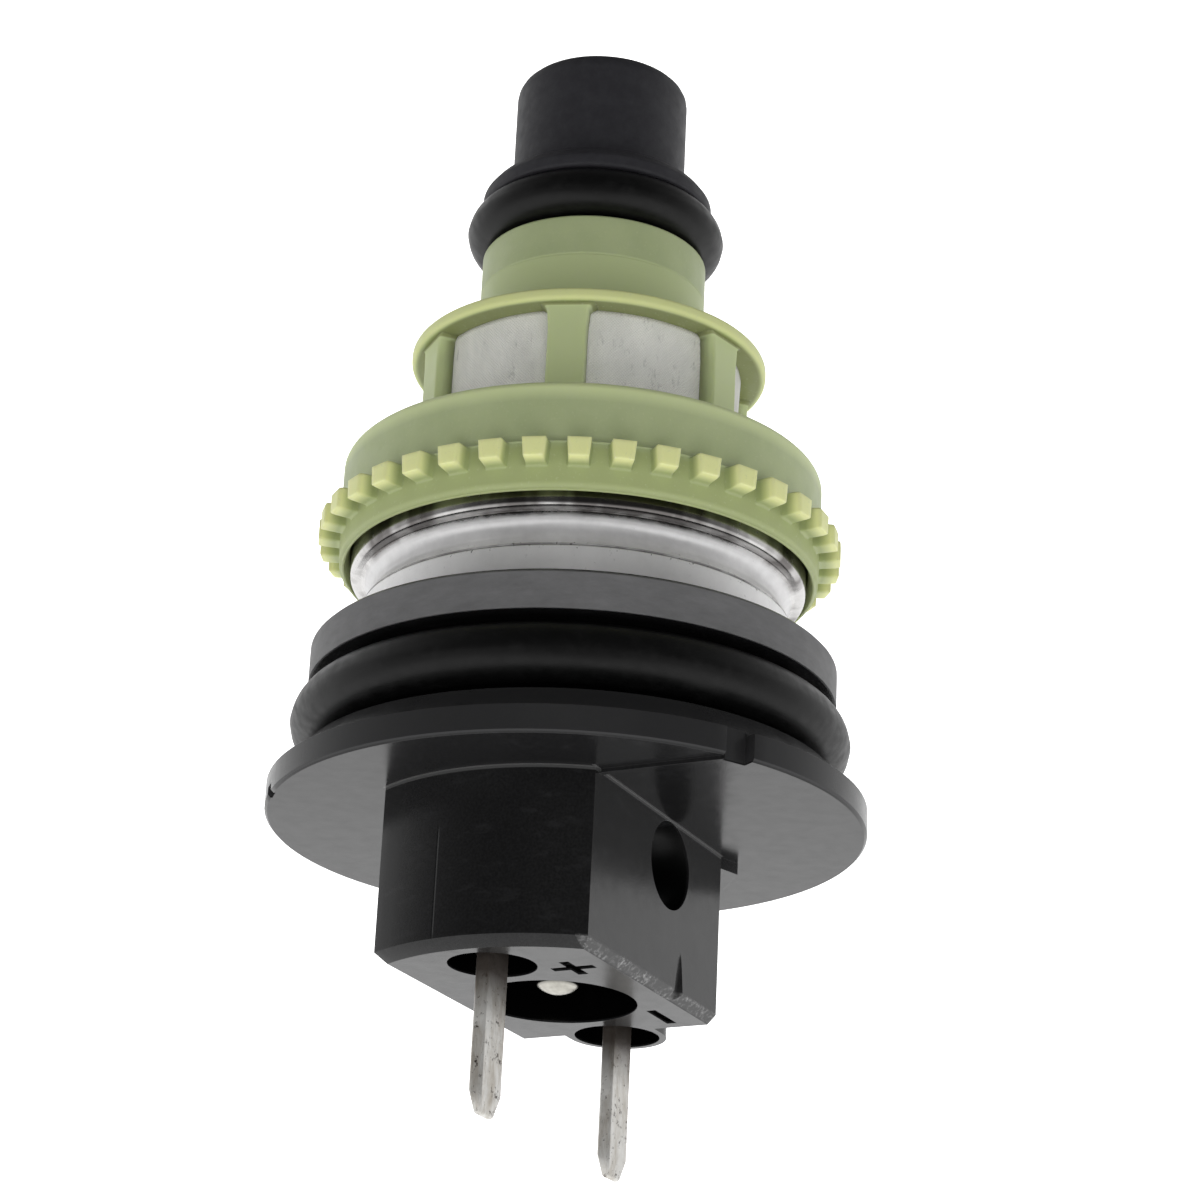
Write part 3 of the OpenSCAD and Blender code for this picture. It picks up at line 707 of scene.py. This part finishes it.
def cup_ring():
    """Magnet cup: the plain ring that shows, and the cup wall and plate inside the moulding."""
    top_z = top("magnet_cup")
    wall_r = 10.0
    bore_r = 8.9
    core_r = 3.6
    plate_z = top_z - 1.2
    outline = rounded([
        (core_r, plate_z, 0.1), (bore_r, plate_z, 0.3), (bore_r, CUP_LOW, 0.1),
        (CUP_R, CUP_LOW, 0.1), (CUP_R, GUIDE_LOW, 0.05), (wall_r, GUIDE_LOW, 0.05),
        (wall_r, top_z, 0.3), (core_r, top_z, 0.1),
    ])
    return new_object("cup_ring", [turned(outline, uneven=0.01)])


def rolled_ring():
    """Housing ring: a lip under the cup, a concave waist and a bead rolled over the carrier."""
    top_z = top("housing_ring")
    waist_r = 10.5
    inner_r = 9.3
    gap = 0.03
    outline = rounded([
        (inner_r, BEAD_LOW, 0.05), (BEAD_R, BEAD_LOW, 0.3), (BEAD_R, BEAD_TOP, 0.28),
        (waist_r + 0.55, BEAD_TOP, 0.2), (waist_r, BEAD_TOP + 0.5, 0.6),
        (waist_r + 0.1, top_z - 0.6, 0.5), (CUP_R - 0.05, top_z - 0.1, 0.08),
        (CUP_R - 0.12, top_z - gap, 0.03), (inner_r, top_z - gap, 0.05),
    ])
    return new_object("rolled_ring", [turned(outline, uneven=0.01)])


def ramp_up(value, start, end):
    """0 before start and 1 after end, steep at first and levelling off."""
    share = min(max((value - start) / (end - start), 0), 1)
    return 1 - (1 - share) ** 3


def ring_wall():
    """Rows up the snap ring's outer wall, from its rounded nozzle side to its mouth.

    Rows are close together at the ends of the teeth, where the teeth's roundings need them.
    """
    corner_r = 0.45
    corner_steps = 7
    plain_steps = 9
    step_out = 0.07
    rows = []
    for i in range(corner_steps + 1):
        angle = i * math.pi / 2 / corner_steps
        rows.append((RING_R - corner_r + corner_r * math.sin(angle),
                     RING_LOW + corner_r * (1 - math.cos(angle))))
    plain_start = RING_LOW + corner_r
    plain_end = TOOTH_LOW - 0.14
    for i in range(1, plain_steps + 1):
        rows.append((RING_R, plain_start + (plain_end - plain_start) * i / plain_steps))
    rows += [(RING_R + step_out, TOOTH_LOW - 0.09), (RING_R + step_out, TOOTH_LOW - 0.05)]
    end_steps = (0, 0.01, 0.03, 0.05, 0.08, 0.11, 0.14)
    levels = [TOOTH_LOW + step for step in (*end_steps, 0.3, 0.5, 0.7, 0.9)]
    levels += [TOOTH_TOP - step for step in reversed(end_steps)]
    levels += [TOOTH_TOP + step for step in (0.1, 0.3, 0.5, 0.75, 1)]
    for z in levels:
        rows.append((RING_R - MOUTH_DRAFT * (z - TOOTH_LOW) / (BASKET_TOP - TOOTH_LOW), z))
    return rows


def snap_ring():
    """Snap ring with its teeth, as one grid: a tooth is a raised patch of the outer wall."""
    pitch = TURN / TOOTH_COUNT
    mid_r = (RING_R + TOOTH_R) / 2
    tip_half_w = 0.56
    foot_widening = 0.11
    end_rounding = 0.14
    floor_z = RING_LOW + 1
    floor_r = GAUZE_R - 1
    grip_r = BEAD_R + 0.1
    lip_r = RING_R - MOUTH_DRAFT
    wall = ring_wall()
    inside = rounded([
        (lip_r, BASKET_TOP, 0.08), (lip_r - 0.25, BASKET_TOP, 0.08),
        (grip_r, BASKET_TOP - 0.7, 0.1), (grip_r, floor_z, 0.1),
        (floor_r, floor_z, 0.1), (floor_r, RING_LOW, 0),
    ], steps=3)
    outline = wall + inside
    points = []
    for tooth in range(TOOTH_COUNT):
        for side, step in tooth_columns():
            for row, (r, z) in enumerate(outline):
                slope = min(max((TOOTH_TOP - z) / (TOOTH_TOP - TOOTH_LOW), 0), 1)
                half = tip_half_w + foot_widening * slope
                across = side * tooth_place(step, half, pitch * mid_r / 2)
                if row < len(wall):
                    share = 1 - ramp_up(abs(across) - half, TOOTH_SIDE[0], TOOTH_SIDE[-1])
                    share *= ramp_up(TOOTH_TOP - z, 0, end_rounding)
                    share *= ramp_up(z, TOOTH_LOW, TOOTH_LOW + end_rounding)
                    r += (TOOTH_R - r) * share
                angle = FIRST_TOOTH + tooth * pitch + across / mid_r
                points.append((r * math.cos(angle), r * math.sin(angle), z))
    columns = len(points) // len(outline)
    return points, grid_faces(columns, len(outline))


def tooth_columns():
    """Columns across one tooth and half the gap on each side, as (side, step) pairs in order."""
    steps = list(range(1, len(TOOTH_SIDE) + 3))
    left = [(-1, step) for step in reversed(steps)]
    right = [(1, step) for step in steps[:-1]]
    return left + [(1, 0)] + right


def tooth_place(step, half, gap_middle):
    """Distance of a column from the tooth's middle; the last step is the middle of the gap."""
    if step == 0:
        return 0.0
    if step == 1:
        return half / 2
    if step == len(TOOTH_SIDE) + 2:
        return gap_middle
    return half + TOOTH_SIDE[step - 2]


def collar_and_neck():
    """Collar under the windows and the neck that leads to the nozzle seal."""
    inner_r = 4.6
    neck_r = 5.91
    joint = 0.05
    # A second row each side of the joint's groove keeps the shading of the neck straight
    outline = rounded([
        (inner_r, COLLAR_TOP, 0), (COLLAR_R, COLLAR_TOP, 0.22), (COLLAR_R, COLLAR_LOW, 0.22),
        (neck_r, COLLAR_LOW - 0.4, 0.5),
        (neck_r, NECK_JOINT_Z + 2 * joint, 0), (neck_r, NECK_JOINT_Z + joint, 0),
        (neck_r - joint, NECK_JOINT_Z, 0),
        (neck_r, NECK_JOINT_Z - joint, 0), (neck_r, NECK_JOINT_Z - 2 * joint, 0),
        (neck_r, BASKET_LOW, 0.2), (inner_r, BASKET_LOW, 0),
    ])
    return turned(outline[::-1], uneven=0.01)


def rib(turn):
    """One rib of the window frame, with rounded edges and flared ends."""
    half_w = RIB_W / 2
    edge = 0.14
    cut = 0.3 * edge
    flare = 0.55
    root = 0.25
    inner_r = GAUZE_R - 0.1
    middle_z = (RING_LOW + COLLAR_TOP) / 2
    half_h = (RING_LOW - COLLAR_TOP) / 2 + root
    lower = [-1, -0.97, -0.94, -0.91, -0.88, -0.84, -0.5]
    levels = lower + [0] + [-level for level in reversed(lower)]
    points = []
    for level in levels:
        z = middle_z + level * half_h
        to_end = half_h - root - abs(z - middle_z)
        inward = 1 - min(max(to_end / flare, 0), 1)
        w = half_w + flare * (1 - math.sqrt(max(0, 1 - inward ** 2)))
        side = [(inner_r, w), (RIB_R - edge, w), (RIB_R - cut, w - cut), (RIB_R, w - edge)]
        section = [(x, -y) for x, y in side] + side[::-1]
        for x, y in section:
            points.append((x * math.cos(turn) - y * math.sin(turn),
                           x * math.sin(turn) + y * math.cos(turn), z))
    count = len(section)
    faces = []
    for row in range(len(levels) - 1):
        for i in range(count):
            low_i = row * count + i
            low_next = row * count + (i + 1) % count
            faces.append((low_i, low_next, low_next + count, low_i + count))
    faces += [tuple(range(count)), tuple(range(len(points) - count, len(points)))]
    return points, faces


def strainer_moulding():
    """The green moulding: snap ring, collar, neck and ribs."""
    ribs = [rib(BASKET_TURN + TURN * i / RIB_COUNT) for i in range(RIB_COUNT)]
    return new_object("strainer_moulding", [snap_ring(), collar_and_neck(), *ribs])


def strainer_gauze():
    """Gauze tube that sags a little between the ribs."""
    segments = 360
    rows = 25
    thickness = 0.12
    deepest_sag = 0.10
    ripple = 0.03
    clearance = 0.03
    points = []
    for step in range(segments):
        angle = TURN * step / segments
        between = 0.5 - 0.5 * math.cos(RIB_COUNT * (angle - BASKET_TURN))
        outward = [(row, 0) for row in range(rows)]
        inward = [(row, thickness) for row in reversed(range(rows))]
        for row, depth in outward + inward:
            share = row / (rows - 1)
            z = GAUZE_LOW + (GAUZE_TOP - GAUZE_LOW) * share
            wave = noise.noise((6 * math.cos(angle), 6 * math.sin(angle), 0.4 * z))
            sag = deepest_sag * between * math.sin(math.pi * share) + ripple * wave * between
            r = GAUZE_R - clearance - sag - depth
            points.append((r * math.cos(angle), r * math.sin(angle), z))
    return new_object("strainer_gauze", [(points, grid_faces(segments, 2 * rows))])


# ---- Put together ----

def dress(piece, material, node, body="injector"):
    """Gives a new piece its material, hides the CAD node it stands for and makes it ride with its
    body.
    """
    piece.data.materials.append(material)
    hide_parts(node)
    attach(piece, body)


def paint(node, material):
    """Gives a CAD node that stays a better material."""
    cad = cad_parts[node]
    for material_slot in cad.material_slots:
        material_slot.material = material


plastic = black_plastic()
seal = rubber("seal_rubber", 0.0035)
green = green_plastic()
housing = housing_steel()
tin = tinned_brass()
ground = turned_steel("ground_steel", 0.70, 0.16, 0.2)
iron = turned_steel("magnet_iron", 0.48, 0.30, 0.5)
spring = turned_steel("spring_steel", 0.50, 0.22, 0.2)
copper = enamelled_copper()

block = from_cad("connector_moulding", "connector_block", 0.10)
dress(block, plastic, "connector_block")
for end in ("plus", "minus"):
    blade = from_cad(f"blade_{end}", f"terminal_{end}", 0.14)
    dress(blade, tin, f"terminal_{end}")
rod = from_cad("adjusting_rod", "adjusting_pin", 0.05)
dress(rod, rod_steel(), "adjusting_pin")
dress(seal_ring("upper_seal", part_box("upper_o_ring")), seal, "upper_o_ring")
dress(seal_ring("nozzle_seal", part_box("nozzle_o_ring")), seal, "nozzle_o_ring")
dress(transit_cap(), cap_plastic(), "protective_cap", body="cap")
for make, node in ((cup_ring, "magnet_cup"), (rolled_ring, "housing_ring")):
    ring = make()
    even_normals(ring)
    dress(ring, housing, node)
basket = strainer_moulding()
even_normals(basket)
dress(basket, green, "strainer_basket")
dress(strainer_gauze(), gauze(), "filter_mesh")

for node in ("valve_needle", "valve_body", "valve_carrier", "stop_plate", "lift_shim"):
    paint(node, ground)
for node in ("armature", "stator_core", "pole_ring"):
    paint(node, iron)
for node in ("core_o_ring", "coil_o_ring", "body_o_ring"):
    paint(node, seal)
for node in ("coil_winding", "coil_leads"):
    paint(node, copper)
paint("return_spring", spring)
paint("coil_bobbin", bobbin_plastic())


# ---- Floor, light and camera ----

def floor():
    """Wide pale floor, low enough for the cap to come right off above it."""
    half = 1500
    level = CAP_LOW - CAP_TRAVEL - 1
    corners = ((-half, -half), (half, -half), (half, half), (-half, half))
    sheet = new_object("floor", [([(x, y, level) for x, y in corners], [(0, 1, 2, 3)])])
    finish = Finish("floor_paper", Roughness=0.9, Specular_IOR_Level=0.1, Emission_Strength=0.8)
    finish.shader.inputs["Emission Color"].default_value = (1, 1, 1, 1)
    grain = finish.span(finish.noise(4, 3), 0.3, 0.7)
    finish.colour(finish.blend(grain, grey(0.90), grey(0.93)))
    sheet.data.materials.append(finish.material)
    sheet.visible_glossy = False
    sheet.visible_diffuse = False


def soft_box(name, place, aim, size, power):
    """Square area light at place, turned towards aim, in millimetres.

    Neither the light nor its reflection is seen.
    """
    light = bpy.data.lights.new(name, "AREA")
    light.size = size * MM
    light.energy = power
    lamp = bpy.data.objects.new(name, light)
    bpy.context.scene.collection.objects.link(lamp)
    lamp.location = Vector(place) * MM
    lamp.visible_glossy = False
    lamp.visible_camera = False
    lamp.rotation_euler = (Vector(aim) - Vector(place)).to_track_quat("-Z", "Y").to_euler()


def camera():
    """Camera above the terminals' side, rolled over so that the nozzle points up in the view."""
    roll = math.radians(-177.222)
    distance = 178.48
    aim = Vector((-0.521, -1.040, -11.131))
    away = Vector((math.cos(VIEW_HEIGHT) * math.cos(VIEW_AZIMUTH),
                   math.cos(VIEW_HEIGHT) * math.sin(VIEW_AZIMUTH), math.sin(VIEW_HEIGHT)))
    lens = bpy.data.cameras.new("camera")
    lens.lens = 104.69
    lens.sensor_width = 36
    lens.clip_start = 0.01
    turn = away.to_track_quat("Z", "Y").to_matrix() @ Matrix.Rotation(roll, 3, "Z")
    view = bpy.data.objects.new("camera", lens)
    view.matrix_world = Matrix.Translation((aim + away * distance) * MM) @ turn.to_4x4()
    bpy.context.scene.collection.objects.link(view)
    bpy.context.scene.camera = view


def surroundings():
    """White studio, brightest overhead and at the back as the camera sees it.

    It is dark low down in front, in a strip on the camera's side and straight below.
    """
    world = bpy.data.worlds.new("studio")
    world.use_nodes = True
    tree = world.node_tree

    def add(kind, *inputs, **settings):
        """A node with its inputs linked or set in order, as its first output."""
        node = tree.nodes.new(kind)
        for setting, value in settings.items():
            setattr(node, setting, value)
        for socket, value in zip(node.inputs, inputs):
            if isinstance(value, bpy.types.NodeSocket):
                tree.links.new(value, socket)
            else:
                socket.default_value = value
        return node.outputs[0]

    def rise(value, start, end, first, last):
        """first where value is under start, last where it is over end, and smooth between."""
        return add("ShaderNodeMapRange", value, start, end, first, last,
                   interpolation_type="SMOOTHSTEP")

    way = tree.nodes.new("ShaderNodeTexCoord").outputs["Generated"]
    split = tree.nodes.new("ShaderNodeSeparateXYZ")
    tree.links.new(way, split.inputs[0])
    dot = tree.nodes.new("ShaderNodeVectorMath")
    dot.operation = "DOT_PRODUCT"
    dot.inputs[1].default_value = (-math.cos(VIEW_AZIMUTH), -math.sin(VIEW_AZIMUTH), 0)
    tree.links.new(way, dot.inputs[0])
    behind = dot.outputs["Value"]
    overhead = rise(split.outputs["Z"], -0.10, 0.45, 0.06, 1.2)
    clear_of_camera = rise(behind, -0.93, -0.72, 0.25, 1)
    above = add("ShaderNodeMath", overhead, clear_of_camera, operation="MULTIPLY")
    seen_back = rise(behind, -0.75, 0.85, 0.06, 1.2)
    clear_of_floor = rise(split.outputs["Z"], -0.90, -0.55, 0.15, 1)
    back = add("ShaderNodeMath", seen_back, clear_of_floor, operation="MULTIPLY")
    light = add("ShaderNodeMath", above, back, operation="MAXIMUM")
    sky = tree.nodes["Background"]
    sky.inputs["Color"].default_value = (1, 1, 1, 1)
    tree.links.new(light, sky.inputs["Strength"])
    bpy.context.scene.world = world


floor()
surroundings()
soft_box("overhead", (60, -40, 450), (0, 0, -10), 300, 0.3)
soft_box("front", (400, -220, -40), (0, 0, -15), 300, 0.8)
camera()
bpy.context.scene.view_settings.view_transform = "Standard"
